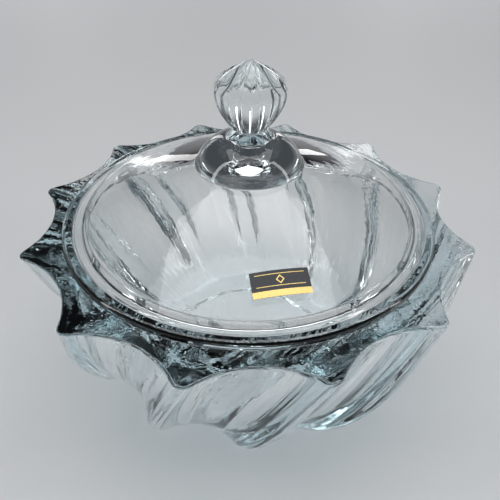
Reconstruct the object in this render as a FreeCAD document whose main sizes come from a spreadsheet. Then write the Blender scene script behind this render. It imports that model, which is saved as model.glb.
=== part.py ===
import FreeCAD, Part
import Sketcher
import math
import os

# Covered dish of clear pressed glass: a star-rimmed bowl with twelve swirling ribs, a low
# conical lid with a fluted knob, and a foil label on the lid. Millimetres, Z up. The bowl's
# base rests on Z = 0 and the Z axis is the axis of the bowl and the lid.

os.makedirs("parts", exist_ok=True)
doc = FreeCAD.newDocument("covered_dish")

# Radius of the scoops' bottoms at the level of the inside wall's foot.
FLARED_SCOOP = ("=rim_scoop_radius * (1 - wall_foot_share) ^ 3"
                " + 3 * upper_scoop_pull * (1 - wall_foot_share) ^ 2 * wall_foot_share"
                " + 3 * lower_scoop_pull * (1 - wall_foot_share) * wall_foot_share ^ 2"
                " + base_scoop_radius * wall_foot_share ^ 3")

# Driving dimensions. A value that starts with "=" is worked out from the ones before it.
# A "rise" is a height above the bowl's rim, and a "level" is a height above its base.
SIZES = [
    # bowl, outside: the ribs' crests and the scoops' bottoms follow two flared curves, each
    # pulled by two radii between the rim and the base
    ("bowl_height", "88"),
    ("rim_crest_radius", "105.4"),
    ("upper_crest_draw", "7.9"),
    ("lower_crest_draw", "5.9"),
    ("base_crest_draw", "45.4"),
    ("upper_crest_pull", "=rim_crest_radius - upper_crest_draw"),
    ("lower_crest_pull", "=rim_crest_radius - lower_crest_draw"),
    ("base_crest_radius", "=rim_crest_radius - base_crest_draw"),
    ("rim_scoop_depth", "11.6"),
    ("upper_scoop_depth", "11"),
    ("lower_scoop_depth", "16"),
    ("base_scoop_depth", "3"),
    ("rim_scoop_radius", "=rim_crest_radius - rim_scoop_depth"),
    ("upper_scoop_pull", "=upper_crest_pull - upper_scoop_depth"),
    ("lower_scoop_pull", "=lower_crest_pull - lower_scoop_depth"),
    ("base_scoop_radius", "=base_crest_radius - base_scoop_depth"),
    ("rim_crest_round", "4.5"),
    ("base_crest_round", "7"),
    ("rim_crest_angle", "15"),
    ("swirl_angle", "22"),
    ("rim_edge_round", "1.4"),
    ("base_edge_round", "1.5"),
    # bowl, inside and under the base
    ("rim_land_width", "13.8"),
    ("mouth_radius", "=rim_scoop_radius - rim_land_width"),
    ("mouth_edge_bevel", "1"),
    ("wall_bow_radius", "150"),
    ("wall_foot_level", "32"),
    ("wall_foot_share", "=1 - wall_foot_level / bowl_height"),
    ("wall_foot_scoop", FLARED_SCOOP),
    ("wall_foot_thickness", "8.92"),
    ("wall_foot_radius", "=wall_foot_scoop - wall_foot_thickness"),
    ("floor_corner_width", "23"),
    ("floor_corner_radius", "32"),
    ("floor_radius", "=wall_foot_radius - floor_corner_width"),
    ("floor_edge_level", "12"),
    ("floor_dip", "1"),
    ("floor_middle_level", "=floor_edge_level - floor_dip"),
    ("floor_bow_radius", "=(floor_radius ^ 2 + floor_dip ^ 2) / (2 * floor_dip)"),
    ("foot_width", "13"),
    ("recess_radius", "=base_scoop_radius - foot_width"),
    ("recess_slope", "3"),
    ("recess_depth", "1.6"),
    ("recess_roof_radius", "=recess_radius - recess_slope"),
    # lid
    ("lid_overlap", "6.6"),
    ("lid_radius", "=mouth_radius + lid_overlap"),
    ("lid_edge_thickness", "4.8"),
    ("lid_edge_round", "2"),
    ("flange_width", "4.6"),
    ("cone_foot_radius", "=lid_radius - flange_width"),
    ("cone_foot_rise", "=lid_edge_thickness"),
    ("cone_height", "25.7"),
    ("cone_bow_radius", "420"),
    ("cone_wall", "4.9"),
    ("ring_clearance", "0.8"),
    ("ring_width", "5"),
    ("ring_depth", "4"),
    ("ring_edge_bevel", "0.8"),
    ("ring_outer_radius", "=mouth_radius - ring_clearance"),
    ("ring_inner_radius", "=ring_outer_radius - ring_width"),
    ("ring_low_rise", "=-ring_depth"),
    # knob, one piece with the lid: a domed foot, a scalloped collar and a fluted ball
    ("knob_foot_radius", "24.4"),
    ("knob_foot_rise", "=cone_foot_rise + cone_height"),
    ("knob_foot_height", "12.6"),
    ("knob_foot_bow_radius", "21"),
    ("dome_top_radius", "11.2"),
    ("collar_inset", "0.6"),
    ("collar_radius", "=dome_top_radius - collar_inset"),
    ("collar_depth_share", "0.08"),
    ("collar_height", "4.3"),
    ("collar_low_rise", "=knob_foot_rise + knob_foot_height"),
    ("core_inset", "4"),
    ("core_radius", "=dome_top_radius - core_inset"),
    ("ball_foot_radius", "7.8"),
    ("ball_foot_rise", "=collar_low_rise + collar_height"),
    ("ball_radius", "15.85"),
    ("low_ball_draw", "3.4"),
    ("high_ball_draw", "0.2"),
    ("low_shoulder_swell", "0.13"),
    ("high_shoulder_draw", "6.45"),
    ("low_ball_pull", "=ball_radius - low_ball_draw"),
    ("high_ball_pull", "=ball_radius - high_ball_draw"),
    ("low_shoulder_pull", "=ball_radius + low_shoulder_swell"),
    ("high_shoulder_pull", "=ball_radius - high_shoulder_draw"),
    ("lower_ball_height", "17.4"),
    ("upper_ball_height", "11.2"),
    ("ball_rise", "=ball_foot_rise + lower_ball_height"),
    ("ball_top_radius", "2.2"),
    ("ball_top_rise", "=ball_rise + upper_ball_height"),
    ("button_height", "0.7"),
    ("button_bow_radius", "=(ball_top_radius ^ 2 + button_height ^ 2) / (2 * button_height)"),
    ("button_rise", "=ball_top_rise + button_height"),
    ("crest_sharpness", "0.8"),
    ("flute_depth_share", "0.085"),
    ("knob_crest_angle", "18"),
    # roof under the knob, where the lid's underside ends
    ("roof_inset", "10.4"),
    ("roof_radius", "=knob_foot_radius - roof_inset"),
    ("roof_crown", "2"),
    ("roof_bow_radius", "=(roof_radius ^ 2 + roof_crown ^ 2) / (2 * roof_crown)"),
    ("cone_slope", "=cone_height / (cone_foot_radius - knob_foot_radius)"),
    ("roof_edge_rise", "=knob_foot_rise + cone_slope * (knob_foot_radius - roof_radius) - cone_wall"),
    ("roof_rise", "=roof_edge_rise + roof_crown"),
    ("under_foot_rise", "=cone_foot_rise + cone_slope * (cone_foot_radius - ring_inner_radius) - cone_wall"),
    # foil label on the lid's slope
    ("label_width", "23.2"),
    ("label_depth", "9.7"),
    ("label_thickness", "0.12"),
    ("label_gap", "0.03"),
    ("label_inset", "17.65"),
    ("label_distance", "=cone_foot_radius - label_inset"),
    ("label_angle", "-81.3"),
    ("label_near", "=label_distance - label_depth / 2"),
    ("label_far", "=label_distance + label_depth / 2"),
    ("label_left", "=label_width / 2"),
    ("label_right", "=-label_left"),
    ("label_block_rise", "=button_rise + label_gap"),
    ("label_low_foot_rise", "=cone_foot_rise + label_gap"),
    ("label_low_head_rise", "=knob_foot_rise + label_gap"),
    ("label_high_foot_rise", "=label_low_foot_rise + label_thickness"),
    ("label_high_head_rise", "=label_low_head_rise + label_thickness"),
]
BOWL_RIB_COUNT = 12
BOWL_SECTION_COUNT = 5
KNOB_FLUTE_COUNT = 10
LOWER_BALL_SECTION_COUNT = 4
UPPER_BALL_SECTION_COUNT = 4
COLLAR_SECTION_COUNT = 2
EPSILON = 1e-4
UPRIGHT = FreeCAD.Vector(0, 0, 1)


def between(start, end, share):
    """Formula of a value at a share of the way from one name of the sheet to another."""
    return "=%s * %g + %s * %g" % (start, 1 - share, end, share)


def flared(start, first, second, end, share):
    """Formula of a radius at a share of the way, on a cubic curve pulled by four names."""
    rest = 1 - share
    weights = (rest ** 3, 3 * rest ** 2 * share, 3 * rest * share ** 2, share ** 3)
    terms = ["%s * %r" % pair for pair in zip((start, first, second, end), weights)]
    return "=" + " + ".join(terms)


def bowl_section_rows():
    """Sizes of each section of the ribbed bowl, from the rim down to the base."""
    rows = []
    for index in range(BOWL_SECTION_COUNT):
        share = index / (BOWL_SECTION_COUNT - 1)
        number = index + 1
        crest = flared("rim_crest_radius", "upper_crest_pull", "lower_crest_pull",
                       "base_crest_radius", share)
        scoop = flared("rim_scoop_radius", "upper_scoop_pull", "lower_scoop_pull",
                       "base_scoop_radius", share)
        rows.append(("bowl_crest_%d" % number, crest))
        rows.append(("bowl_scoop_%d" % number, scoop))
        rows.append(("bowl_round_%d" % number, between("rim_crest_round", "base_crest_round", share)))
        rows.append(("bowl_level_%d" % number, "=bowl_height * %g" % (1 - share)))
        rows.append(("bowl_turn_%d" % number, "=rim_crest_angle - swirl_angle * %g" % share))
    return rows


def knob_stations():
    """Crest formula and rise formula of each section of the knob's ball, from its foot up."""
    stations = []
    for index in range(LOWER_BALL_SECTION_COUNT):
        share = index / LOWER_BALL_SECTION_COUNT
        crest = flared("ball_foot_radius", "low_ball_pull", "high_ball_pull", "ball_radius", share)
        stations.append((crest, between("ball_foot_rise", "ball_rise", share)))
    for index in range(UPPER_BALL_SECTION_COUNT + 1):
        share = index / UPPER_BALL_SECTION_COUNT
        crest = flared("ball_radius", "low_shoulder_pull", "high_shoulder_pull",
                       "ball_top_radius", share)
        stations.append((crest, between("ball_rise", "ball_top_rise", share)))
    return stations


def knob_section_rows():
    """Sizes of each section of the knob's ball, widest under a conical shoulder."""
    rows = []
    for number, (crest, rise) in enumerate(knob_stations(), start=1):
        crest_name = "knob_crest_%d" % number
        rows.append((crest_name, crest))
        rows.append(("knob_scoop_%d" % number, "=%s * (1 - flute_depth_share)" % crest_name))
        rows.append(("knob_round_%d" % number, "=crest_sharpness * %s / ball_radius" % crest_name))
        rows.append(("knob_rise_%d" % number, rise))
    return rows


def collar_section_rows():
    """Sizes of the scalloped collar's sections, from the dome up to the ball's foot."""
    rows = []
    for index in range(COLLAR_SECTION_COUNT):
        share = index / (COLLAR_SECTION_COUNT - 1)
        number = index + 1
        crest_name = "collar_crest_%d" % number
        rows.append((crest_name, between("collar_radius", "ball_foot_radius", share)))
        rows.append(("collar_scoop_%d" % number, "=%s * (1 - collar_depth_share)" % crest_name))
        rows.append(("collar_round_%d" % number, "=crest_sharpness * %s / ball_radius" % crest_name))
        rows.append(("collar_rise_%d" % number, between("collar_low_rise", "ball_foot_rise", share)))
    return rows


def add_sizes(rows):
    """The sheet of sizes, one row to a name."""
    made = doc.addObject("Spreadsheet::Sheet", "Sizes")
    for number, (name, value) in enumerate(rows, start=1):
        made.set("A%d" % number, name)
        made.set("B%d" % number, value)
        made.setAlias("B%d" % number, name)
    doc.recompute()
    return made


sheet = add_sizes(SIZES + bowl_section_rows() + collar_section_rows() + knob_section_rows())


def size(name):
    """The number that the sheet holds for a name."""
    return float(sheet.get(name))


def add_body(label):
    """An empty body whose label names its file."""
    body = doc.addObject("PartDesign::Body", label)
    body.Label = label
    return body


def add_sketch(body, name, role):
    """A sketch on one of the body's own origin planes."""
    sketch = body.newObject("Sketcher::SketchObject", name)
    plane = [item for item in body.Origin.OriginFeatures if item.Role == role][0]
    sketch.AttachmentSupport = [(plane, "")]
    sketch.MapMode = "FlatFace"
    return sketch


def point(across, up):
    return FreeCAD.Vector(across, up, 0)


def arc_centre(start, end, radius, side):
    """Centre of an arc from start to end, on the left of that way for side 1, else on the right."""
    chord = end - start
    middle = (start + end) * 0.5
    reach = math.sqrt(max(radius ** 2 - (chord.Length / 2) ** 2, 0))
    across = point(-chord.y, chord.x).normalize()
    return middle + across * (reach * side)


def arc(centre, radius, start, end):
    """Anticlockwise arc from the direction of start to the direction of end."""
    first = math.atan2(start.y - centre.y, start.x - centre.x)
    last = math.atan2(end.y - centre.y, end.x - centre.x)
    if last < first:
        last += 2 * math.pi
    circle = Part.Circle(centre, UPRIGHT, radius)
    return Part.ArcOfCircle(circle, first, last)


def bind(sketch, constraint, name):
    """Add one constraint whose value is read from the sheet."""
    index = sketch.addConstraint(constraint)
    sketch.setExpression("Constraints[%d]" % index, "Sizes." + name)


def draw_outline(sketch, corners):
    """Closed outline. A corner is (across, up, bow): two names from the sheet, None for zero,
    and the side to the next corner, None if straight, else a radius and the centre's side."""
    places = []
    for across, up, bow in corners:
        places.append(point(size(across) if across else 0, size(up) if up else 0))
    sides = []
    ends = []
    for index, (across, up, bow) in enumerate(corners):
        start = places[index]
        end = places[(index + 1) % len(places)]
        if bow is None:
            sides.append(Part.LineSegment(start, end))
            ends.append((1, 2))
            continue
        radius_name, side = bow
        radius = size(radius_name)
        centre = arc_centre(start, end, radius, side)
        if side > 0:
            sides.append(arc(centre, radius, start, end))
            ends.append((1, 2))
        else:
            sides.append(arc(centre, radius, end, start))
            ends.append((2, 1))
    sketch.addGeometry(sides, False)
    joins = []
    for index in range(len(corners)):
        following = (index + 1) % len(corners)
        joins.append(Sketcher.Constraint(
            "Coincident", index, ends[index][1], following, ends[following][0]))
    for index, (across, up, bow) in enumerate(corners):
        if across is None:
            joins.append(Sketcher.Constraint("PointOnObject", index, ends[index][0], -2))
        if up is None:
            joins.append(Sketcher.Constraint("PointOnObject", index, ends[index][0], -1))
    sketch.addConstraint(joins)
    for index, (across, up, bow) in enumerate(corners):
        corner = ends[index][0]
        if across:
            bind(sketch, Sketcher.Constraint("DistanceX", -1, 1, index, corner, size(across)), across)
        if up:
            bind(sketch, Sketcher.Constraint("DistanceY", -1, 1, index, corner, size(up)), up)
        if bow:
            bind(sketch, Sketcher.Constraint("Radius", index, size(bow[0])), bow[0])


def scoop_arc_radius(crest, scoop, rounding, count):
    """Radius of the hollow arc that touches the scoop circle and two neighbouring crest arcs."""
    reach = crest - rounding
    slant = math.cos(math.pi / count)
    above = rounding ** 2 - scoop ** 2 - reach ** 2 + 2 * scoop * reach * slant
    below = 2 * (scoop - reach * slant - rounding)
    return above / below


def draw_star(sketch, crest_name, scoop_name, rounding_name, count):
    """Star outline of rounded crests joined by tangent hollow arcs, as fully tied arcs."""
    crest = size(crest_name)
    scoop = size(scoop_name)
    rounding = size(rounding_name)
    step = 2 * math.pi / count
    reach = crest - rounding
    hollow = scoop_arc_radius(crest, scoop, rounding, count)
    far = scoop + hollow
    lean = math.atan2(far * math.sin(step / 2), far * math.cos(step / 2) - reach)
    arcs = []
    for index in range(count):
        turn = index * step
        middle = point(math.cos(turn), math.sin(turn)) * reach
        after = point(math.cos(turn + step), math.sin(turn + step)) * reach
        outside = point(math.cos(turn + step / 2), math.sin(turn + step / 2)) * far
        before = middle + point(math.cos(turn - lean), math.sin(turn - lean)) * rounding
        behind = middle + point(math.cos(turn + lean), math.sin(turn + lean)) * rounding
        ahead = after + point(math.cos(turn + step - lean), math.sin(turn + step - lean)) * rounding
        arcs.append(arc(middle, rounding, before, behind))
        arcs.append(arc(outside, hollow, ahead, behind))
    sketch.addGeometry(arcs, False)
    crest_circle = sketch.addGeometry(Part.Circle(point(0, 0), UPRIGHT, crest), True)
    scoop_circle = sketch.addGeometry(Part.Circle(point(0, 0), UPRIGHT, scoop), True)
    ties = [
        Sketcher.Constraint("Coincident", crest_circle, 3, -1, 1),
        Sketcher.Constraint("Coincident", scoop_circle, 3, -1, 1),
        Sketcher.Constraint("PointOnObject", 0, 3, -1),
    ]
    for index in range(count):
        tip = 2 * index
        hollow_arc = tip + 1
        next_tip = (tip + 2) % (2 * count)
        ties.append(Sketcher.Constraint("Tangent", tip, 2, hollow_arc, 2))
        ties.append(Sketcher.Constraint("Tangent", hollow_arc, 1, next_tip, 1))
        ties.append(Sketcher.Constraint("Tangent", tip, crest_circle))
        ties.append(Sketcher.Constraint("Tangent", hollow_arc, scoop_circle))
        if index > 0:
            ties.append(Sketcher.Constraint("Equal", 0, tip))
            ties.append(Sketcher.Constraint("Equal", 1, hollow_arc))
    sketch.addConstraint(ties)
    bind(sketch, Sketcher.Constraint("Radius", crest_circle, crest), crest_name)
    bind(sketch, Sketcher.Constraint("Radius", scoop_circle, scoop), scoop_name)
    bind(sketch, Sketcher.Constraint("Radius", 0, rounding), rounding_name)


def add_star(body, name, level_name, turn_name, radius_names, count):
    """Star sketch on a level of the body, with its first crest turned to an angle in degrees."""
    sketch = add_sketch(body, name, "XY_Plane")
    sketch.AttachmentOffset = FreeCAD.Placement(point(0, 0), FreeCAD.Rotation(UPRIGHT, size(turn_name)))
    sketch.setExpression("AttachmentOffset.Base.z", "Sizes." + level_name)
    sketch.setExpression("AttachmentOffset.Rotation.Angle", "Sizes." + turn_name)
    draw_star(sketch, *radius_names, count)
    return sketch


def add_loft(body, name, sections):
    """Smooth solid through a row of closed sections."""
    loft = body.newObject("PartDesign::AdditiveLoft", name)
    loft.Profile = sections[0]
    loft.Sections = sections[1:]
    doc.recompute()
    return loft


def add_turned(body, kind, name, corners):
    """Revolution or Groove of an outline round the Z axis."""
    sketch = add_sketch(body, name + "_outline", "XZ_Plane")
    draw_outline(sketch, corners)
    turned = body.newObject(kind, name)
    turned.Profile = sketch
    turned.ReferenceAxis = (sketch, ["V_Axis"])
    turned.Angle = 360
    doc.recompute()
    return turned


def finish_edges(body, kind, measure, name, edges, size_name):
    """Fillet or Chamfer on the named edges of the body's last feature."""
    base = body.Tip
    feature = body.newObject(kind, name)
    feature.Base = (base, edges)
    feature.setExpression(measure, "Sizes." + size_name)
    doc.recompute()
    return feature


def round_edges(body, name, edges, radius_name):
    """Fillet whose radius is read from the sheet."""
    return finish_edges(body, "PartDesign::Fillet", "Radius", name, edges, radius_name)


def bevel_edges(body, name, edges, width_name):
    """Chamfer whose width is read from the sheet."""
    return finish_edges(body, "PartDesign::Chamfer", "Size", name, edges, width_name)


def circles_at(shape, radius, level):
    """Names of the full circles of one radius on one level."""
    names = []
    for number, edge in enumerate(shape.Edges, start=1):
        flat = edge.BoundBox.ZLength < EPSILON and abs(edge.CenterOfMass.z - level) < EPSILON
        if flat and abs(edge.Length - 2 * math.pi * radius) < EPSILON:
            names.append("Edge%d" % number)
    return names


def outer_edges_at(shape, level, inside_radius):
    """Names of the edges that lie on one level, outside a radius."""
    names = []
    for number, edge in enumerate(shape.Edges, start=1):
        box = edge.BoundBox
        middle = edge.CenterOfMass
        flat = abs(box.ZMin - level) < EPSILON and abs(box.ZMax - level) < EPSILON
        if flat and math.hypot(middle.x, middle.y) > inside_radius:
            names.append("Edge%d" % number)
    return names


def make_bowl():
    """Star-rimmed bowl: swirling ribs lofted from rim to base, then hollowed."""
    body = add_body("bowl")
    sections = []
    for number in range(1, BOWL_SECTION_COUNT + 1):
        radius_names = ("bowl_crest_%d" % number, "bowl_scoop_%d" % number, "bowl_round_%d" % number)
        sections.append(add_star(body, "bowl_section_%d" % number, "bowl_level_%d" % number,
                                 "bowl_turn_%d" % number, radius_names, BOWL_RIB_COUNT))
    blank = add_loft(body, "ribbed_blank", sections)
    rim_edges = outer_edges_at(blank.Shape, size("bowl_height"), size("mouth_radius"))
    rounded = round_edges(body, "rounded_rim", rim_edges, "rim_edge_round")
    base_edges = outer_edges_at(rounded.Shape, 0, size("recess_radius"))
    round_edges(body, "rounded_base", base_edges, "base_edge_round")
    hollow = add_turned(body, "PartDesign::Groove", "hollow", [
        (None, "floor_middle_level", ("floor_bow_radius", 1)),
        ("floor_radius", "floor_edge_level", ("floor_corner_radius", 1)),
        ("wall_foot_radius", "wall_foot_level", ("wall_bow_radius", 1)),
        ("mouth_radius", "bowl_height", None),
        (None, "bowl_height", None),
    ])
    mouth = circles_at(hollow.Shape, size("mouth_radius"), size("bowl_height"))
    bevel_edges(body, "bevelled_mouth", mouth, "mouth_edge_bevel")
    add_turned(body, "PartDesign::Groove", "base_recess", [
        (None, None, None),
        ("recess_radius", None, None),
        ("recess_roof_radius", "recess_depth", None),
        (None, "recess_depth", None),
    ])
    return body


def knob_stars(body, part, count):
    """Star sections of one part of the knob, collar or ball, with their sizes from the sheet."""
    sections = []
    for number in range(1, count + 1):
        radius_names = ("%s_crest_%d" % (part, number), "%s_scoop_%d" % (part, number),
                        "%s_round_%d" % (part, number))
        sections.append(add_star(body, "%s_section_%d" % (part, number), "%s_rise_%d" % (part, number),
                                 "knob_crest_angle", radius_names, KNOB_FLUTE_COUNT))
    return sections


def make_lid():
    """Low conical lid with a locating ring, turned in one piece with the core of its knob."""
    body = add_body("lid")
    body.setExpression("Placement.Base.z", "Sizes.bowl_height")
    turned = add_turned(body, "PartDesign::Revolution", "turned_lid", [
        (None, "roof_rise", ("roof_bow_radius", -1)),
        ("roof_radius", "roof_edge_rise", None),
        ("ring_inner_radius", "under_foot_rise", None),
        ("ring_inner_radius", "ring_low_rise", None),
        ("ring_outer_radius", "ring_low_rise", None),
        ("ring_outer_radius", None, None),
        ("lid_radius", None, None),
        ("lid_radius", "lid_edge_thickness", None),
        ("cone_foot_radius", "cone_foot_rise", ("cone_bow_radius", 1)),
        ("knob_foot_radius", "knob_foot_rise", ("knob_foot_bow_radius", 1)),
        ("dome_top_radius", "collar_low_rise", None),
        ("core_radius", "collar_low_rise", None),
        ("core_radius", "ball_rise", None),
        ("ball_top_radius", "ball_top_rise", ("button_bow_radius", 1)),
        (None, "button_rise", None),
    ])
    edge_names = circles_at(turned.Shape, size("lid_radius"), 0)
    edge_names += circles_at(turned.Shape, size("lid_radius"), size("lid_edge_thickness"))
    rounded = round_edges(body, "rounded_edge", edge_names, "lid_edge_round")
    ring_names = circles_at(rounded.Shape, size("ring_outer_radius"), size("ring_low_rise"))
    ring_names += circles_at(rounded.Shape, size("ring_inner_radius"), size("ring_low_rise"))
    bevel_edges(body, "bevelled_ring", ring_names, "ring_edge_bevel")
    add_loft(body, "scalloped_collar", knob_stars(body, "collar", COLLAR_SECTION_COUNT))
    add_loft(body, "fluted_ball", knob_stars(body, "knob", len(knob_stations())))
    return body


def make_label():
    """Thin foil rectangle that follows the slope of the lid."""
    body = add_body("label")
    body.setExpression("Placement.Base.z", "Sizes.bowl_height")
    body.setExpression("Placement.Rotation.Angle", "Sizes.label_angle")
    sketch = add_sketch(body, "label_plan", "XY_Plane")
    draw_outline(sketch, [
        ("label_near", "label_right", None),
        ("label_far", "label_right", None),
        ("label_far", "label_left", None),
        ("label_near", "label_left", None),
    ])
    block = body.newObject("PartDesign::Pad", "label_block")
    block.Profile = sketch
    block.setExpression("Length", "Sizes.button_rise")
    doc.recompute()
    add_turned(body, "PartDesign::Groove", "space_below", [
        (None, None, None),
        ("cone_foot_radius", None, None),
        ("cone_foot_radius", "label_low_foot_rise", ("cone_bow_radius", 1)),
        ("knob_foot_radius", "label_low_head_rise", None),
        (None, "label_low_head_rise", None),
    ])
    add_turned(body, "PartDesign::Groove", "space_above", [
        (None, "label_high_head_rise", None),
        ("knob_foot_radius", "label_high_head_rise", ("cone_bow_radius", -1)),
        ("cone_foot_radius", "label_high_foot_rise", None),
        ("cone_foot_radius", "label_block_rise", None),
        (None, "label_block_rise", None),
    ])
    return body


def check_model():
    """Stop if any object of the document failed."""
    doc.recompute()
    for item in doc.Objects:
        if "Invalid" in item.State or "Error" in item.State:
            raise RuntimeError(item.Name + " failed")
        if item.isDerivedFrom("PartDesign::Feature") and (item.Shape.isNull() or not item.Shape.isValid()):
            raise RuntimeError(item.Name + " has no valid shape")


bodies = [make_bowl(), make_lid(), make_label()]
check_model()
for made in bodies:
    made.Shape.exportStep("parts/%s.step" % made.Label)
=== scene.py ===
from collections import namedtuple
import math

import bpy
import numpy as np
from mathutils import Matrix, Vector


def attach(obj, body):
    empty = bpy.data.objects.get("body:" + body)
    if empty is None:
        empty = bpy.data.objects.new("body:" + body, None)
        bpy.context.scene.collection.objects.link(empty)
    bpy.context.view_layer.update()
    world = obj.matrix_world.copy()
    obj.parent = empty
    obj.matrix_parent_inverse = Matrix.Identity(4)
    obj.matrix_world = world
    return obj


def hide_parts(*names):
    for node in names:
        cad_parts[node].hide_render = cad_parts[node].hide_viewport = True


# Covered dish of clear pressed glass. The CAD solids give the shape, and here the bowl and the
# lid are built again with fine smooth meshes, whose ribs and flutes come from the same rule.
# Metres, Z up, with the bowl's base on Z = 0.

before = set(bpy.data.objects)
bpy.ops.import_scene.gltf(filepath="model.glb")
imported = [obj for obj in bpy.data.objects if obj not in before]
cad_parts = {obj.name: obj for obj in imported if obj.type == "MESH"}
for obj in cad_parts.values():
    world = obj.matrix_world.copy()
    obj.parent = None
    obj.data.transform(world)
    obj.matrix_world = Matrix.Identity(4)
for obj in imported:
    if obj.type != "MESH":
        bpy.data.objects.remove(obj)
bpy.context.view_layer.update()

MM = 0.001
BODY = "root"
LEFT = 1
RIGHT = -1


def crown_radius(half_width, rise):
    """Radius of an arc that is level at the axis and falls by the rise over the half width."""
    return (half_width ** 2 + rise ** 2) / (2 * rise)


# Bowl, outside
BOWL_RIBS = 12
BOWL_HEIGHT = 88 * MM
AIR_FILM = 0.04 * MM
BOWL_SIZES = {
    "Rim crest radius": 105.4 * MM,
    "Upper crest pull": 97.5 * MM,
    "Lower crest pull": 99.5 * MM,
    "Base crest radius": 60 * MM,
    "Rim scoop radius": 93.8 * MM,
    "Upper scoop pull": 86.5 * MM,
    "Lower scoop pull": 83.5 * MM,
    "Base scoop radius": 57 * MM,
    "Rim crest rounding": 4.5 * MM,
    "Base crest rounding": 7 * MM,
    "Rim crest angle": math.radians(15),
    "Swirl angle": math.radians(22),
}
RIM_EDGE_ROUND = 1.4 * MM
BASE_EDGE_ROUND = 1.5 * MM

# Bowl, inside and under the base: (radius, level) in millimetres
MOUTH_RADIUS = 80
MOUTH_EDGE = 1
WALL_FOOT = (69, 32)
FLOOR_EDGE = (46, 12)
FLOOR_MIDDLE = (0, 11)
WALL_BOW = 150
FLOOR_CORNER_BOW = 32
FLOOR_BOW = crown_radius(FLOOR_EDGE[0], FLOOR_EDGE[1] - FLOOR_MIDDLE[1])
RECESS_EDGE = (44, 0)
RECESS_ROOF = (41, 1.6)
RECESS_MIDDLE = (0, RECESS_ROOF[1])
PLAIN_RING_WIDTH = 2
PLAIN_RING = (RECESS_EDGE[0] + PLAIN_RING_WIDTH, 0)

# Lid and knob: (radius, rise above the rim) in millimetres
LID_RADIUS = 86.6
LID_EDGE_THICKNESS = 4.8
LID_EDGE_ROUND = 2
CONE_HEIGHT = 25.7
CONE_FOOT = (82, LID_EDGE_THICKNESS)
KNOB_FOOT = (24.4, LID_EDGE_THICKNESS + CONE_HEIGHT)
CONE_BOW = 420
CONE_WALL = 4.9
CONE_SLOPE = (KNOB_FOOT[1] - CONE_FOOT[1]) / (CONE_FOOT[0] - KNOB_FOOT[0])
RING_OUTER = 79.2
RING_INNER = 74.2
RING_DEPTH = 4
RING_EDGE = 0.8
ROOF_RADIUS = 14
ROOF_RISE = 2
UNDER_FOOT = (RING_INNER, CONE_FOOT[1] + CONE_SLOPE * (CONE_FOOT[0] - RING_INNER) - CONE_WALL)
ROOF_EDGE = (ROOF_RADIUS, KNOB_FOOT[1] + CONE_SLOPE * (KNOB_FOOT[0] - ROOF_RADIUS) - CONE_WALL)
ROOF_MIDDLE = (0, ROOF_EDGE[1] + ROOF_RISE)
ROOF_BOW = crown_radius(ROOF_RADIUS, ROOF_RISE)
DOME_TOP = (11.2, 43.1)
DOME_BOW = 21
COLLAR_LOW = (10.6, DOME_TOP[1])
BALL_FOOT = (7.8, 47.4)
BALL_WIDEST = (15.85, 64.8)
BALL_TOP = (2.2, 76.0)
LOWER_BALL_PULLS = (12.45, 15.65)
UPPER_BALL_PULLS = (15.98, 9.4)
KNOB_TOP = 76.7
BUTTON_BOW = crown_radius(BALL_TOP[0], KNOB_TOP - BALL_TOP[1])
KNOB_FLUTES = 10
KNOB_CREST_ROUNDING = 0.8
KNOB_SIZES = {
    "Flute depth share": 0.085,
    "Crest rounding share": KNOB_CREST_ROUNDING / BALL_WIDEST[0],
    "First crest angle": math.radians(18),
}

# Foil label: plan sizes in millimetres
LABEL_WIDTH = 23.2
LABEL_DEPTH = 9.7
LABEL_DISTANCE = 64.35
LABEL_ANGLE = math.radians(-81.3)
LABEL_THICKNESS = 0.12
LABEL_GAP = 0.03
LABEL_STEPS_ACROSS = 48
LABEL_STEPS_UP = 24

# Print on the label: heights and lengths as shares of it, the lozenge's reach in millimetres
LABEL_BLACK = (0.006, 0.008, 0.016, 1)
LABEL_GOLD = (0.66, 0.49, 0.18, 1)
GOLD_BAND_TOP = 0.24
GOLD_RULES = (0.40, 0.86)
RULE_HALF_WIDTH = 0.012
RULE_HALF_LENGTH = 0.42
LOZENGE_MIDDLE = 0.63
LOZENGE_INSIDE = 1.15
LOZENGE_OUTSIDE = 1.7
GOLD_METALLIC = 0.9
FOIL_ROUGHNESS = 0.2

# Fineness of the meshes. The last rings round the axis and the soft edges are in millimetres, and
# a soft edge takes no more than its share of the lines beside it.
COLUMNS_PER_RIB = 40
CREST_CROWDING = 0.45
WALL_ROWS = 70
EDGE_ROWS = 7
PLAIN_RING_ROWS = 4
LAND_ROWS = 6
COLLAR_SHARES = (0, 0.06, 0.2, 0.4, 0.6, 0.8, 0.93, 1)
LOWER_BALL_SHARES = (0.015, 0.04) + tuple(index / 26 for index in range(2, 27))
UPPER_BALL_SHARES = tuple(index / 24 for index in range(1, 25))
BUTTON_ROWS = 6
FLOOR_LAST_RING = 0.4
BUTTON_LAST_RING = 0.1
BASE_SOFT_EDGE = 0.6
LID_SOFT_EDGE = 0.35
SOFT_EDGE_POINTS = 5
SOFT_EDGE_SHARE = 1 / 2.2
MINIMUM_CORNER = math.radians(14)

# Glass
GLASS_IOR = 1.54
GLASS_SHADOW = (0.70, 0.72, 0.73, 1)
GLASS_DEPTH_TINT = (0.60, 0.86, 0.92, 1)
GLASS_DENSITY = 6

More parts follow.
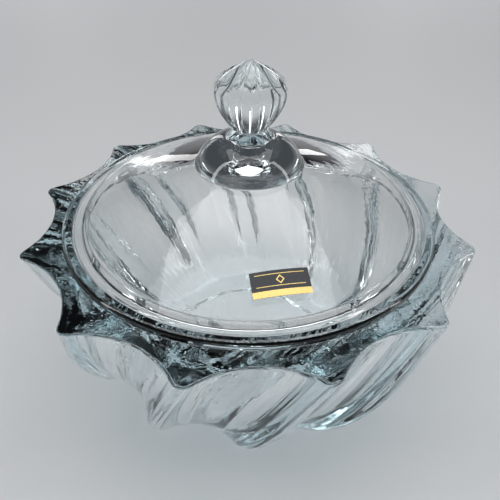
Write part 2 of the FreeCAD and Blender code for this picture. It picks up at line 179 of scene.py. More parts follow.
# Noises on the surfaces. The strength of one that goes into a bump is a height in metres.
Noise = namedtuple("Noise", "scale detail strength")
MOULD_WAVES = (Noise(45, 1, 0.1 * MM), Noise(190, 1, 0.04 * MM))
FLOW_LINES = (Noise(30, 0, 0.26 * MM), Noise(80, 0, 0.05 * MM))
FLOW_STRETCH = 0.35
CRACKLE = (Noise(450, 1, 0.15 * MM),)
LAND_DEPTH = 0.2 * MM
FOIL_CRINKLE = (Noise(160, 2, 0.02 * MM), Noise(1400, 1, 0.003 * MM))
FOIL_SMEAR = (Noise(900, 1, 0.16),)

# Room
HORIZON_COLOUR = (0.53, 0.54, 0.555, 1)
OVERHEAD_COLOUR = (0.058, 0.064, 0.072, 1)
OVERHEAD_FROM = 0.27
FLOOR_COLOUR = (0.76, 0.77, 0.78, 1)
FLOOR_ROUGHNESS = 0.7
FLOOR_REACH = 12.0
FLOOR_LEVEL = -0.05 * MM
# Distances from the dish over which the floor turns into a painted glow of the horizon's colour, in
# place of lamp light on the far floor.
PAINTED_GLOW_START = 0.3
PAINTED_GLOW_END = 1.1

# Lamps. The places of the side and back lamps are those on the right, and the left has the same.
Softbox = namedtuple("Softbox", "place target width height power")
TOP_LAMP = Softbox((0, 0.05, 1.25), (0, 0, 0.06), width=1.4, height=1.0, power=9)
SIDE_LAMP = Softbox((0.8, -0.15, 0.5), (0, 0, 0.06), width=0.1, height=0.9, power=1.7)
BACK_LAMP = Softbox((0.3, 0.85, 0.32), (0, 0, 0.08), width=0.07, height=0.5, power=0.35)

# Camera at the photograph's viewing angle. Its place is measured from the bowl's axis and rim.
CAMERA_TURN = math.radians(-2.574)
CAMERA_YAW = math.radians(0.220)
CAMERA_PITCH = math.radians(37.862)
CAMERA_ROLL = math.radians(0.897)
CAMERA_BACK = 0.2289
CAMERA_RISE = 0.1581
CAMERA_NEAR = 0.01
FOCAL_PIXELS = 577.12
PHOTO_PIXELS = 500
SENSOR_WIDTH = 36

# A ring of points on a turned blank, in metres. The share is how far down the bowl it lies, the
# inset is taken off its star, and the ribbing goes from 0 for a plain ring to 1 for a ribbed one.
Row = namedtuple("Row", "level plain_radius share inset ribbing", defaults=(0, 0, 0, 0))


class Term:
    """A number inside a node tree, so that a rule can be written as a plain formula."""

    def __init__(self, tree, socket):
        self.tree = tree
        self.socket = socket

    def make(self, operation, *others):
        """Term that an operation makes of this term and others."""
        node = self.tree.nodes.new("ShaderNodeMath")
        node.operation = operation
        for socket, value in zip(node.inputs, (self,) + others):
            if isinstance(value, Term):
                self.tree.links.new(value.socket, socket)
            else:
                socket.default_value = value
        return Term(self.tree, node.outputs[0])

    def __add__(self, other):
        return self.make("ADD", other)

    def __sub__(self, other):
        return self.make("SUBTRACT", other)

    def __mul__(self, other):
        return self.make("MULTIPLY", other)

    def __truediv__(self, other):
        return self.make("DIVIDE", other)

    def less_from(self, number):
        """The number less this term."""
        return self.make("MULTIPLY_ADD", -1, number)

    def squared(self):
        return self * self

    def root(self):
        """Square root, which is 0 for a term below 0."""
        return self.make("MAXIMUM", 0).make("SQRT")


def flared(start, first, second, end, share):
    """Value at a share of the way on a cubic curve, for plain numbers or terms."""
    rest = share.less_from(1) if isinstance(share, Term) else 1 - share
    return (start * rest * rest * rest + first * rest * rest * share * 3
            + second * rest * share * share * 3 + end * share * share * share)


def star_radius(angle, crest, scoop, rounding, count):
    """Radius of a star outline of rounded crests and tangent hollow arcs, at an angle."""
    step = 2 * math.pi / count
    turns = (angle / step).make("ROUND")
    aside = (angle - turns * step).make("ABSOLUTE")
    half = step / 2
    reach = crest - rounding
    slant = math.cos(half)
    above = rounding.squared() - scoop.squared() - reach.squared() + scoop * reach * (2 * slant)
    hollow = above / ((scoop - reach * slant - rounding) * 2)
    far = scoop + hollow
    lean = (far * math.sin(half)).make("ARCTAN2", far * math.cos(half) - reach)
    touch = (rounding * lean.make("SINE")).make("ARCTAN2", reach + rounding * lean.make("COSINE"))
    tip_width = reach * aside.make("SINE")
    tip = reach * aside.make("COSINE") + (rounding.squared() - tip_width.squared()).root()
    from_scoop = aside.less_from(half)
    dip_width = far * from_scoop.make("SINE")
    dip = far * from_scoop.make("COSINE") - (hollow.squared() - dip_width.squared()).root()
    past = aside.make("GREATER_THAN", touch)
    return tip + (dip - tip) * past


def new_tree(name, numbers):
    """Geometry tree with a named input for each number. Returns the tree, its group input, its
    terms and the inputs' identifiers."""
    tree = bpy.data.node_groups.new(name, "GeometryNodeTree")
    sockets = tree.interface
    sockets.new_socket("Geometry", in_out="INPUT", socket_type="NodeSocketGeometry")
    sockets.new_socket("Geometry", in_out="OUTPUT", socket_type="NodeSocketGeometry")
    identifiers = {}
    for label in numbers:
        number = sockets.new_socket(label, in_out="INPUT", socket_type="NodeSocketFloat")
        identifiers[label] = number.identifier
    material = sockets.new_socket("Material", in_out="INPUT", socket_type="NodeSocketMaterial")
    identifiers["Material"] = material.identifier
    inside = tree.nodes.new("NodeGroupInput")
    terms = {label: Term(tree, inside.outputs[label]) for label in numbers}
    return tree, inside, terms, identifiers


def attribute(tree, name):
    """Term that reads a number stored on the mesh's points."""
    node = tree.nodes.new("GeometryNodeInputNamedAttribute")
    node.data_type = "FLOAT"
    node.inputs["Name"].default_value = name
    return Term(tree, node.outputs[0])


def finish_tree(tree, inside, radius, angle):
    """Moves the points to a radius and an angle, realizes the mesh and gives it its material."""
    position = tree.nodes.new("GeometryNodeInputPosition")
    separate = tree.nodes.new("ShaderNodeSeparateXYZ")
    tree.links.new(position.outputs[0], separate.inputs[0])
    combine = tree.nodes.new("ShaderNodeCombineXYZ")
    tree.links.new((radius * angle.make("COSINE")).socket, combine.inputs[0])
    tree.links.new((radius * angle.make("SINE")).socket, combine.inputs[1])
    tree.links.new(separate.outputs[2], combine.inputs[2])
    move = tree.nodes.new("GeometryNodeSetPosition")
    realize = tree.nodes.new("GeometryNodeRealizeInstances")
    paint = tree.nodes.new("GeometryNodeSetMaterial")
    outside = tree.nodes.new("NodeGroupOutput")
    tree.links.new(inside.outputs["Geometry"], move.inputs["Geometry"])
    tree.links.new(combine.outputs[0], move.inputs["Position"])
    tree.links.new(move.outputs[0], realize.inputs[0])
    tree.links.new(realize.outputs[0], paint.inputs["Geometry"])
    tree.links.new(inside.outputs["Material"], paint.inputs["Material"])
    tree.links.new(paint.outputs[0], outside.inputs[0])


def swirled_ribs_tree():
    """Pushes a turned blank out to star outlines that turn as they go down the bowl."""
    tree, inside, size, identifiers = new_tree("swirled_ribs", BOWL_SIZES)
    share = attribute(tree, "share")
    inset = attribute(tree, "inset")
    ribbing = attribute(tree, "ribbing")
    column = attribute(tree, "column")
    plain = attribute(tree, "plain_radius")
    crest = flared(size["Rim crest radius"], size["Upper crest pull"],
                   size["Lower crest pull"], size["Base crest radius"], share) - inset
    scoop = flared(size["Rim scoop radius"], size["Upper scoop pull"],
                   size["Lower scoop pull"], size["Base scoop radius"], share) - inset
    rounding = (size["Rim crest rounding"] * share.less_from(1)
                + size["Base crest rounding"] * share - inset)
    star = star_radius(column, crest, scoop, rounding, BOWL_RIBS)
    radius = plain + (star - plain) * ribbing
    angle = column + size["Rim crest angle"] - size["Swirl angle"] * share
    finish_tree(tree, inside, radius, angle)
    return tree, identifiers


def fluted_knob_tree():
    """Cuts upright flutes into the ball of a turned blank."""
    tree, inside, size, identifiers = new_tree("fluted_knob", KNOB_SIZES)
    ribbing = attribute(tree, "ribbing")
    column = attribute(tree, "column")
    plain = attribute(tree, "plain_radius")
    crest = plain.make("MAXIMUM", BUTTON_LAST_RING * MM)
    scoop = crest * size["Flute depth share"].less_from(1)
    rounding = crest * size["Crest rounding share"]
    star = star_radius(column, crest, scoop, rounding, KNOB_FLUTES)
    radius = plain + (star - plain) * ribbing
    finish_tree(tree, inside, radius, column + size["First crest angle"])
    return tree, identifiers


def shaped(blank, tree, identifiers, values, material):
    """The blank with the plain mesh that its tree makes of it, and with the modifier gone."""
    modifier = blank.modifiers.new("shape", "NODES")
    modifier.node_group = tree
    for label, value in values.items():
        modifier[identifiers[label]] = value
    modifier[identifiers["Material"]] = material
    bpy.context.view_layer.update()
    graph = bpy.context.evaluated_depsgraph_get()
    mesh = bpy.data.meshes.new_from_object(blank.evaluated_get(graph))
    blank.modifiers.remove(modifier)
    blank.data = mesh
    if not mesh.materials:
        mesh.materials.append(material)
    return blank


def arc_centre(start, end, radius, side):
    """Centre of an arc from start to end, on the left or the right of the way there."""
    (x0, y0), (x1, y1) = start, end
    chord = math.hypot(x1 - x0, y1 - y0)
    reach = math.sqrt(max(radius ** 2 - chord ** 2 / 4, 0)) * side
    return (x0 + x1) / 2 - (y1 - y0) / chord * reach, (y0 + y1) / 2 + (x1 - x0) / chord * reach


def bow(start, end, radius, side, steps):
    """Points of an arc from start to end. Start is left out."""
    centre_x, centre_y = arc_centre(start, end, radius, side)
    first = math.atan2(start[1] - centre_y, start[0] - centre_x)
    last = math.atan2(end[1] - centre_y, end[0] - centre_x)
    turn = (last - first + math.pi) % (2 * math.pi) - math.pi
    angles = [first + turn * index / steps for index in range(1, steps + 1)]
    return [(centre_x + radius * math.cos(angle), centre_y + radius * math.sin(angle))
            for angle in angles]


def straight(start, end, steps):
    """Points of a line from start to end. Start is left out."""
    shares = [index / steps for index in range(1, steps + 1)]
    return [(start[0] + (end[0] - start[0]) * share, start[1] + (end[1] - start[1]) * share)
            for share in shares]


def softened(outline, reach):
    """Outline whose sharp corners are rounded off within a short reach, so that they shade well."""
    soft = [outline[0]]
    for before, corner, after in zip(outline, outline[1:], outline[2:]):
        into = np.subtract(corner, before)
        out = np.subtract(after, corner)
        lengths = np.hypot(*into), np.hypot(*out)
        turn = math.acos(float(np.clip(into @ out / lengths[0] / lengths[1], -1, 1)))
        if turn < MINIMUM_CORNER:
            soft.append(corner)
            continue
        start = np.subtract(corner, into / lengths[0] * min(reach, lengths[0] * SOFT_EDGE_SHARE))
        end = np.add(corner, out / lengths[1] * min(reach, lengths[1] * SOFT_EDGE_SHARE))
        for share in np.linspace(0, 1, SOFT_EDGE_POINTS):
            rest = 1 - share
            point = start * rest ** 2 + np.multiply(corner, 2 * share * rest) + end * share ** 2
            soft.append((float(point[0]), float(point[1])))
    return soft + [outline[-1]]


def column_angles(count):
    """Angles round the axis, crowded near each crest."""
    angles = []
    step = 2 * math.pi / count
    for rib in range(count):
        for index in range(COLUMNS_PER_RIB):
            across = index / COLUMNS_PER_RIB - 0.5
            crowded = across * CREST_CROWDING + (1 - CREST_CROWDING) * 4 * across ** 3
            angles.append(step * (rib + crowded))
    return angles


def turned_blank(name, rows, count):
    """Closed turned shell of rows, whose first and last are points on the axis. What its tree
    needs to know of each point is stored on it."""
    angles = column_angles(count)
    around = len(angles)
    rings = len(rows) - 2
    marks = [(rows[0], 0.0)]
    marks += [(row, angle) for row in rows[1:-1] for angle in angles]
    marks.append((rows[-1], 0.0))
    points = [(row.plain_radius * math.cos(angle), row.plain_radius * math.sin(angle), row.level)
              for row, angle in marks]
    faces = []
    last = len(points) - 1
    for index in range(around):
        following = (index + 1) % around
        faces.append((0, 1 + following, 1 + index))
        for ring in range(rings - 1):
            low = 1 + ring * around
            high = low + around
            faces.append((low + index, low + following, high + following, high + index))
        top = 1 + (rings - 1) * around
        faces.append((top + index, top + following, last))
    mesh = bpy.data.meshes.new(name)
    mesh.from_pydata(points, [], faces)
    stored = {label: [getattr(row, label) for row, angle in marks]
              for label in ("plain_radius", "share", "inset", "ribbing")}
    stored["column"] = [angle for row, angle in marks]
    for label, values in stored.items():
        layer = mesh.attributes.new(label, "FLOAT", "POINT")
        layer.data.foreach_set("value", values)
    mesh.shade_smooth()
    blank = bpy.data.objects.new(name, mesh)
    bpy.context.scene.collection.objects.link(blank)
    return blank


def depth_share(level):
    """How far down the bowl a level in metres lies."""
    return max(1 - level / BOWL_HEIGHT, 0)


def ribbed_row(level, inset=0):
    """Row of the bowl's ribbed outside at a level."""
    return Row(level, share=depth_share(level), inset=inset, ribbing=1)


def base_rows():
    """Rows under the bowl: its recess, and the ring that it stands on, which goes over from plain
    to ribbed."""
    outline = [RECESS_MIDDLE]
    outline += straight(RECESS_MIDDLE, RECESS_ROOF, steps=8)
    outline += straight(RECESS_ROOF, RECESS_EDGE, steps=4)
    outline += straight(RECESS_EDGE, PLAIN_RING, steps=2)
    rows = [Row(level * MM, radius * MM, share=1)
            for radius, level in softened(outline, BASE_SOFT_EDGE)]
    ring = rows[-1].plain_radius
    for index in range(1, PLAIN_RING_ROWS + 1):
        rows.append(Row(0, ring, share=1, inset=BASE_EDGE_ROUND, ribbing=index / PLAIN_RING_ROWS))
    return rows


def rib_rows():
    """Rows of the bowl's ribbed outside, from the base's edge up to the rim's edge."""
    rows = []
    for index in range(1, EDGE_ROWS + 1):
        angle = math.radians(90 * index / EDGE_ROWS)
        level = BASE_EDGE_ROUND * (1 - math.cos(angle))
        rows.append(ribbed_row(level, BASE_EDGE_ROUND * (1 - math.sin(angle))))
    high = BOWL_HEIGHT - RIM_EDGE_ROUND
    for index in range(1, WALL_ROWS + 1):
        share = index / (WALL_ROWS + 1)
        rows.append(ribbed_row(BASE_EDGE_ROUND + (high - BASE_EDGE_ROUND) * share))
    for index in range(EDGE_ROWS + 1):
        angle = math.radians(90 * index / EDGE_ROWS)
        row = ribbed_row(high + RIM_EDGE_ROUND * math.sin(angle), RIM_EDGE_ROUND * (1 - math.cos(angle)))
        rows.append(row._replace(level=min(row.level, BOWL_HEIGHT - AIR_FILM)))
    return rows


def mouth_rows():
    """Rows of the rim's flat top, the mouth's edge, the inside wall and the floor."""
    height = BOWL_HEIGHT / MM
    film = AIR_FILM / MM
    land = MOUTH_RADIUS + MOUTH_EDGE
    top = BOWL_HEIGHT - AIR_FILM
    rows = [Row(top, land * MM, inset=RIM_EDGE_ROUND, ribbing=1 - index / LAND_ROWS)
            for index in range(1, LAND_ROWS + 1)]
    mouth = (MOUTH_RADIUS, height - MOUTH_EDGE)
    inside = bow((land, height - film), mouth, MOUTH_EDGE, LEFT, steps=5)
    inside += bow(inside[-1], WALL_FOOT, WALL_BOW, RIGHT, steps=34)
    inside += bow(WALL_FOOT, FLOOR_EDGE, FLOOR_CORNER_BOW, RIGHT, steps=16)
    inside += bow(FLOOR_EDGE, (FLOOR_LAST_RING, FLOOR_MIDDLE[1]), FLOOR_BOW, RIGHT, steps=14)
    rows += [Row(level * MM, radius * MM, depth_share(level * MM)) for radius, level in inside]
    rows.append(Row(FLOOR_MIDDLE[1] * MM, share=1))
    return rows


def lid_outline():
    """Plain outline of the lid, from the roof under the knob, round the edge, to the dome's top."""
    edge_in = LID_RADIUS - LID_EDGE_ROUND
    edge_up = LID_EDGE_THICKNESS - LID_EDGE_ROUND
    ring_low = RING_EDGE - RING_DEPTH
    ring_in = (RING_INNER + RING_EDGE, -RING_DEPTH)
    ring_out = (RING_OUTER - RING_EDGE, -RING_DEPTH)
    plain = [ROOF_MIDDLE]
    plain += bow(ROOF_MIDDLE, ROOF_EDGE, ROOF_BOW, RIGHT, steps=8)
    plain += straight(ROOF_EDGE, UNDER_FOOT, steps=26)
    plain += straight(UNDER_FOOT, (RING_INNER, ring_low), steps=5)
    plain += bow((RING_INNER, ring_low), ring_in, RING_EDGE, LEFT, steps=4)
    plain += straight(ring_in, ring_out, steps=3)
    plain += bow(ring_out, (RING_OUTER, ring_low), RING_EDGE, LEFT, steps=4)
    plain += straight((RING_OUTER, ring_low), (RING_OUTER, 0), steps=3)
    plain += straight((RING_OUTER, 0), (edge_in, 0), steps=4)
    plain += bow((edge_in, 0), (LID_RADIUS, LID_EDGE_ROUND), LID_EDGE_ROUND, LEFT, steps=8)
    plain += straight((LID_RADIUS, LID_EDGE_ROUND), (LID_RADIUS, edge_up), steps=2)
    plain += bow((LID_RADIUS, edge_up), (edge_in, LID_EDGE_THICKNESS), LID_EDGE_ROUND, LEFT, steps=8)
    plain += straight((edge_in, LID_EDGE_THICKNESS), CONE_FOOT, steps=3)
    plain += bow(CONE_FOOT, KNOB_FOOT, CONE_BOW, LEFT, steps=30)
    plain += bow(KNOB_FOOT, DOME_TOP, DOME_BOW, LEFT, steps=20)
    return plain


def lid_row(radius, rise, ribbing=0):
    """Row of the lid from a radius and a rise above the rim in millimetres."""
    return Row(BOWL_HEIGHT + rise * MM, radius * MM, ribbing=ribbing)


def knob_rows():
    """Rows of the knob's collar, its fluted ball and the button on top."""
    rows = []
    for share in COLLAR_SHARES:
        radius = COLLAR_LOW[0] + (BALL_FOOT[0] - COLLAR_LOW[0]) * share
        rows.append(lid_row(radius, COLLAR_LOW[1] + (BALL_FOOT[1] - COLLAR_LOW[1]) * share, 1))
    for low, high, pulls, shares in ((BALL_FOOT, BALL_WIDEST, LOWER_BALL_PULLS, LOWER_BALL_SHARES),
                                     (BALL_WIDEST, BALL_TOP, UPPER_BALL_PULLS, UPPER_BALL_SHARES)):
        for share in shares:
            radius = flared(low[0], *pulls, high[0], share)
            rows.append(lid_row(radius, low[1] + (high[1] - low[1]) * share, 1))
    button = bow(BALL_TOP, (BUTTON_LAST_RING, KNOB_TOP), BUTTON_BOW, LEFT, steps=BUTTON_ROWS)
    for index, (radius, rise) in enumerate(button, start=1):
        rows.append(lid_row(radius, rise, 1 - index / BUTTON_ROWS))
    rows.append(lid_row(0, KNOB_TOP))
    return rows


def new_material(name):
    """Empty node material. Returns the material, its tree and its output."""
    material = bpy.data.materials.new(name)
    material.use_nodes = True
    tree = material.node_tree
    tree.nodes.clear()
    output = tree.nodes.new("ShaderNodeOutputMaterial")
    return material, tree, output


def object_place(tree):
    """Place on the object, in metres from its origin."""
    return tree.nodes.new("ShaderNodeTexCoord").outputs["Object"]


def relief(tree, vector, noises):
    """Term of the sum of some noises on a vector."""
    terms = []
    for wanted in noises:
        noise = tree.nodes.new("ShaderNodeTexNoise")
        noise.inputs["Scale"].default_value = wanted.scale
        noise.inputs["Detail"].default_value = wanted.detail
        tree.links.new(vector, noise.inputs["Vector"])
        terms.append(Term(tree, noise.outputs[0]) * wanted.strength)
    return sum(terms[1:], terms[0])


def add_bump(tree, height, shader):
    """Gives a shader the bump of a height in metres."""
    bump = tree.nodes.new("ShaderNodeBump")
    bump.inputs["Strength"].default_value = 1.0
    bump.inputs["Distance"].default_value = 1.0
    tree.links.new(height.socket, bump.inputs["Height"])
    tree.links.new(bump.outputs[0], shader.inputs["Normal"])


def mould_waves(tree):
    """Height in metres of the faint waves that a mould leaves all over pressed glass."""
    return relief(tree, object_place(tree), MOULD_WAVES)


def bowl_relief(tree):
    """Height in metres of the bowl's finish: lines that run down along its swirling ribs, and
    a crackled land on top of its rim."""
    place = tree.nodes.new("ShaderNodeSeparateXYZ")
    tree.links.new(object_place(tree), place.inputs[0])
    across = Term(tree, place.outputs[0])
    back = Term(tree, place.outputs[1])
    up = Term(tree, place.outputs[2])
    swirl = BOWL_SIZES["Swirl angle"]
    turn = up * (swirl / BOWL_HEIGHT) - swirl
    angle = back.make("ARCTAN2", across) - turn
    vector = tree.nodes.new("ShaderNodeCombineXYZ")
    for axis, term in enumerate((angle.make("COSINE"), angle.make("SINE"), up * FLOW_STRETCH)):
        tree.links.new(term.socket, vector.inputs[axis])
    lines = relief(tree, vector.outputs[0], FLOW_LINES)
    crackle = relief(tree, object_place(tree), CRACKLE) + mould_waves(tree)
    on_land = up.make("GREATER_THAN", BOWL_HEIGHT - LAND_DEPTH)
    return lines + (crackle - lines) * on_land


def pressed_glass(name, finish):
    """Clear pressed glass, a little cool through its thick parts, with its finish as bump."""
    material, tree, output = new_material(name)
    glass = tree.nodes.new("ShaderNodeBsdfPrincipled")
    glass.inputs["Base Color"].default_value = (1, 1, 1, 1)
    glass.inputs["Roughness"].default_value = 0
    glass.inputs["IOR"].default_value = GLASS_IOR
    glass.inputs["Transmission Weight"].default_value = 1
    add_bump(tree, finish(tree), glass)
    clear = tree.nodes.new("ShaderNodeBsdfTransparent")
    clear.inputs["Color"].default_value = GLASS_SHADOW
    path = tree.nodes.new("ShaderNodeLightPath")
    mix = tree.nodes.new("ShaderNodeMixShader")
    tree.links.new(path.outputs["Is Shadow Ray"], mix.inputs[0])
    tree.links.new(glass.outputs[0], mix.inputs[1])
    tree.links.new(clear.outputs[0], mix.inputs[2])
    tree.links.new(mix.outputs[0], output.inputs["Surface"])
    absorption = tree.nodes.new("ShaderNodeVolumeAbsorption")
    absorption.inputs["Color"].default_value = GLASS_DEPTH_TINT
    absorption.inputs["Density"].default_value = GLASS_DENSITY
    tree.links.new(absorption.outputs[0], output.inputs["Volume"])
    return material


def label_print(tree):
    """Term that is 1 where the label is gold: a band at its lower edge, two thin rules and a small
    open lozenge between them."""
    place = tree.nodes.new("ShaderNodeUVMap")
    place.uv_map = "label"
    separate = tree.nodes.new("ShaderNodeSeparateXYZ")
    tree.links.new(place.outputs[0], separate.inputs[0])
    aside = (Term(tree, separate.outputs[0]) - 0.5).make("ABSOLUTE")
    up = Term(tree, separate.outputs[1])
    gold = up.make("LESS_THAN", GOLD_BAND_TOP)
    for height in GOLD_RULES:
        line = (up - height).make("ABSOLUTE").make("LESS_THAN", RULE_HALF_WIDTH)
        gold = gold.make("MAXIMUM", line * aside.make("LESS_THAN", RULE_HALF_LENGTH))
    lozenge = aside * LABEL_WIDTH + (up - LOZENGE_MIDDLE).make("ABSOLUTE") * LABEL_DEPTH
    inside = lozenge.make("LESS_THAN", LOZENGE_OUTSIDE)
    return gold.make("MAXIMUM", inside * lozenge.make("GREATER_THAN", LOZENGE_INSIDE))


def label_foil():
    """Near-black foil with its print in gold, a little smeared and crinkled."""
    material, tree, output = new_material("label_foil")
    gold = label_print(tree)
    colour = tree.nodes.new("ShaderNodeMix")
    colour.data_type = "RGBA"
    colour.inputs["A"].default_value = LABEL_BLACK
    colour.inputs["B"].default_value = LABEL_GOLD
    tree.links.new(gold.socket, colour.inputs["Factor"])
    foil = tree.nodes.new("ShaderNodeBsdfPrincipled")
    tree.links.new(colour.outputs["Result"], foil.inputs["Base Color"])
    tree.links.new((gold * GOLD_METALLIC).socket, foil.inputs["Metallic"])
    rough = relief(tree, object_place(tree), FOIL_SMEAR) + FOIL_ROUGHNESS
    tree.links.new(rough.socket, foil.inputs["Roughness"])
    add_bump(tree, relief(tree, object_place(tree), FOIL_CRINKLE), foil)
    tree.links.new(foil.outputs[0], output.inputs["Surface"])
    return material


def cone_rise(radius):
    """Rise of the lid's outer slope at a radius, in millimetres."""
    centre_x, centre_y = arc_centre(CONE_FOOT, KNOB_FOOT, CONE_BOW, LEFT)
    return centre_y + math.sqrt(CONE_BOW ** 2 - (radius - centre_x) ** 2)


def make_label(material):
    """Thin foil rectangle that follows the slope of the lid."""
    points = []
    uvs = []
    for side in (1, 0):
        for row in range(LABEL_STEPS_UP + 1):
            for column in range(LABEL_STEPS_ACROSS + 1):
                u = column / LABEL_STEPS_ACROSS
                v = row / LABEL_STEPS_UP
                far = LABEL_DISTANCE + LABEL_DEPTH * (0.5 - v)
                aside = LABEL_WIDTH * (u - 0.5)
                rise = cone_rise(math.hypot(far, aside)) + LABEL_GAP + LABEL_THICKNESS * side
                points.append((far * MM, aside * MM, BOWL_HEIGHT + rise * MM))
                uvs.append((u, v))
    line = LABEL_STEPS_ACROSS + 1
    layer = line * (LABEL_STEPS_UP + 1)
    faces = []
    for row in range(LABEL_STEPS_UP):
        for column in range(LABEL_STEPS_ACROSS):
            first = row * line + column
            corners = (first, first + 1, first + line + 1, first + line)
            faces.append(corners)
            faces.append(tuple(layer + corner for corner in reversed(corners)))
    border = list(range(LABEL_STEPS_ACROSS))
    border += [row * line + LABEL_STEPS_ACROSS for row in range(LABEL_STEPS_UP)]
    border += [layer - 1 - column for column in range(LABEL_STEPS_ACROSS)]
    border += [(LABEL_STEPS_UP - row) * line for row in range(LABEL_STEPS_UP)]
    for corner, following in zip(border, border[1:] + border[:1]):
        faces.append((corner, layer + corner, layer + following, following))
    turn = Matrix.Rotation(LABEL_ANGLE, 4, "Z")
    mesh = bpy.data.meshes.new("foil_label")
    mesh.from_pydata([turn @ Vector(place) for place in points], [], faces)
    uv_layer = mesh.uv_layers.new(name="label")
    for loop in mesh.loops:
        uv_layer.data[loop.index].uv = uvs[loop.vertex_index]
    mesh.materials.append(material)
    label = bpy.data.objects.new("foil_label", mesh)
    bpy.context.scene.collection.objects.link(label)
    return label


def add_piece(piece, node):
    """A finished piece takes the place of its CAD node."""
    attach(piece, BODY)
    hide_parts(node)


def pale_floor():
    """Pale floor that fades away from the dish into a painted glow in the horizon's colour, which stands
    in for lamp light on the far floor.
    """
    material, tree, output = new_material("pale_floor")
    paint = tree.nodes.new("ShaderNodeBsdfPrincipled")
    paint.inputs["Base Color"].default_value = FLOOR_COLOUR
    paint.inputs["Roughness"].default_value = FLOOR_ROUGHNESS
    # Painted glow: the far floor emits the horizon's colour instead of being lit by the lamps.
    painted_glow = tree.nodes.new("ShaderNodeEmission")
    painted_glow.inputs["Color"].default_value = HORIZON_COLOUR
    length = tree.nodes.new("ShaderNodeVectorMath")
    length.operation = "LENGTH"
    tree.links.new(object_place(tree), length.inputs[0])
    spread = tree.nodes.new("ShaderNodeMapRange")
    spread.interpolation_type = "SMOOTHSTEP"
    spread.inputs["From Min"].default_value = PAINTED_GLOW_START
    spread.inputs["From Max"].default_value = PAINTED_GLOW_END
    tree.links.new(length.outputs["Value"], spread.inputs["Value"])
    mix = tree.nodes.new("ShaderNodeMixShader")
    tree.links.new(spread.outputs[0], mix.inputs[0])
    tree.links.new(paint.outputs[0], mix.inputs[1])
    tree.links.new(painted_glow.outputs[0], mix.inputs[2])
    tree.links.new(mix.outputs[0], output.inputs["Surface"])
    return material


def make_floor():
    """Wide flat floor under the dish."""
    mesh = bpy.data.meshes.new("floor")
    corners = [(x * FLOOR_REACH, y * FLOOR_REACH, FLOOR_LEVEL)
               for x, y in ((-1, -1), (1, -1), (1, 1), (-1, 1))]
    mesh.from_pydata(corners, [], [(0, 1, 2, 3)])
    mesh.materials.append(pale_floor())
    floor = bpy.data.objects.new("floor", mesh)
    bpy.context.scene.collection.objects.link(floor)


def add_lamp(name, softbox, side=1):
    """Rectangular lamp that faces its target, on the right for side 1 and on the left for -1."""
    data = bpy.data.lights.new(name, "AREA")
    data.shape = "RECTANGLE"
    data.size = softbox.width
    data.size_y = softbox.height
    data.energy = softbox.power
    lamp = bpy.data.objects.new(name, data)
    across, back, up = softbox.place
    place = Vector((side * across, back, up))
    lamp.location = place
    lamp.rotation_mode = "QUATERNION"
    lamp.rotation_quaternion = (Vector(softbox.target) - place).to_track_quat("-Z", "Y")
    bpy.context.scene.collection.objects.link(lamp)


def add_lamps():
    """A wide soft lamp overhead, an upright strip on each side and a faint one behind each side."""
    add_lamp("top_softbox", TOP_LAMP)
    for ending, softbox in (("_softbox", SIDE_LAMP), ("_back_softbox", BACK_LAMP)):
        add_lamp("left" + ending, softbox, side=-1)
        add_lamp("right" + ending, softbox, side=1)


def make_world():
    """Room that is pale at the horizon and dark overhead, so that the glass shows dark and light."""
    world = bpy.data.worlds.new("room")
    bpy.context.scene.world = world
    world.use_nodes = True
    tree = world.node_tree
    tree.nodes.clear()
    place = tree.nodes.new("ShaderNodeTexCoord")
    separate = tree.nodes.new("ShaderNodeSeparateXYZ")
    tree.links.new(place.outputs["Generated"], separate.inputs[0])
    ramp = tree.nodes.new("ShaderNodeValToRGB")
    ramp.color_ramp.interpolation = "EASE"
    ramp.color_ramp.elements[0].position = 0
    ramp.color_ramp.elements[0].color = HORIZON_COLOUR
    ramp.color_ramp.elements[1].position = OVERHEAD_FROM
    ramp.color_ramp.elements[1].color = OVERHEAD_COLOUR
    tree.links.new(separate.outputs[2], ramp.inputs[0])
    background = tree.nodes.new("ShaderNodeBackground")
    tree.links.new(ramp.outputs[0], background.inputs[0])
    output = tree.nodes.new("ShaderNodeOutputWorld")
    tree.links.new(background.outputs[0], output.inputs[0])


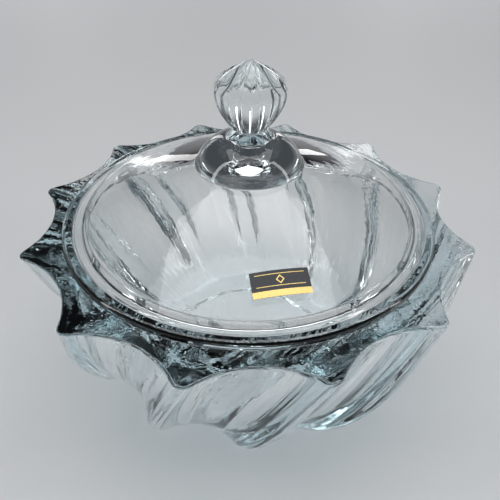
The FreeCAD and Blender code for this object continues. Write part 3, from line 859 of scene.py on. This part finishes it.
def make_camera():
    """Camera at the photograph's viewing angle."""
    place = Vector((0, -CAMERA_BACK, BOWL_HEIGHT + CAMERA_RISE))
    ahead = Vector((math.sin(CAMERA_YAW), math.cos(CAMERA_YAW), 0))
    forward = ahead * math.cos(CAMERA_PITCH) - Vector((0, 0, math.sin(CAMERA_PITCH)))
    level_right = Vector((math.cos(CAMERA_YAW), -math.sin(CAMERA_YAW), 0))
    level_up = level_right.cross(forward)
    right = level_right * math.cos(CAMERA_ROLL) + level_up * math.sin(CAMERA_ROLL)
    up = level_up * math.cos(CAMERA_ROLL) - level_right * math.sin(CAMERA_ROLL)
    basis = Matrix((right, up, -forward)).transposed().to_4x4()
    data = bpy.data.cameras.new("camera")
    data.sensor_width = SENSOR_WIDTH
    data.lens = FOCAL_PIXELS / PHOTO_PIXELS * SENSOR_WIDTH
    data.clip_start = CAMERA_NEAR
    camera = bpy.data.objects.new("camera", data)
    camera.matrix_world = Matrix.Rotation(CAMERA_TURN, 4, "Z") @ Matrix.Translation(place) @ basis
    bpy.context.scene.collection.objects.link(camera)
    bpy.context.scene.camera = camera


bowl_glass = pressed_glass("bowl_glass", bowl_relief)
lid_glass = pressed_glass("lid_glass", mould_waves)

ribs_tree, ribs_inputs = swirled_ribs_tree()
bowl_blank = turned_blank("ribbed_bowl", base_rows() + rib_rows() + mouth_rows(), BOWL_RIBS)
bowl = shaped(bowl_blank, ribs_tree, ribs_inputs, BOWL_SIZES, bowl_glass)
add_piece(bowl, "bowl")

knob_tree, knob_inputs = fluted_knob_tree()
lid_rows = [lid_row(radius, rise) for radius, rise in softened(lid_outline(), LID_SOFT_EDGE)]
lid_blank = turned_blank("knobbed_lid", lid_rows + knob_rows(), KNOB_FLUTES)
lid = shaped(lid_blank, knob_tree, knob_inputs, KNOB_SIZES, lid_glass)
add_piece(lid, "lid")

add_piece(make_label(label_foil()), "label")

make_floor()
make_world()
add_lamps()
make_camera()
bpy.context.scene.view_settings.view_transform = "Standard"
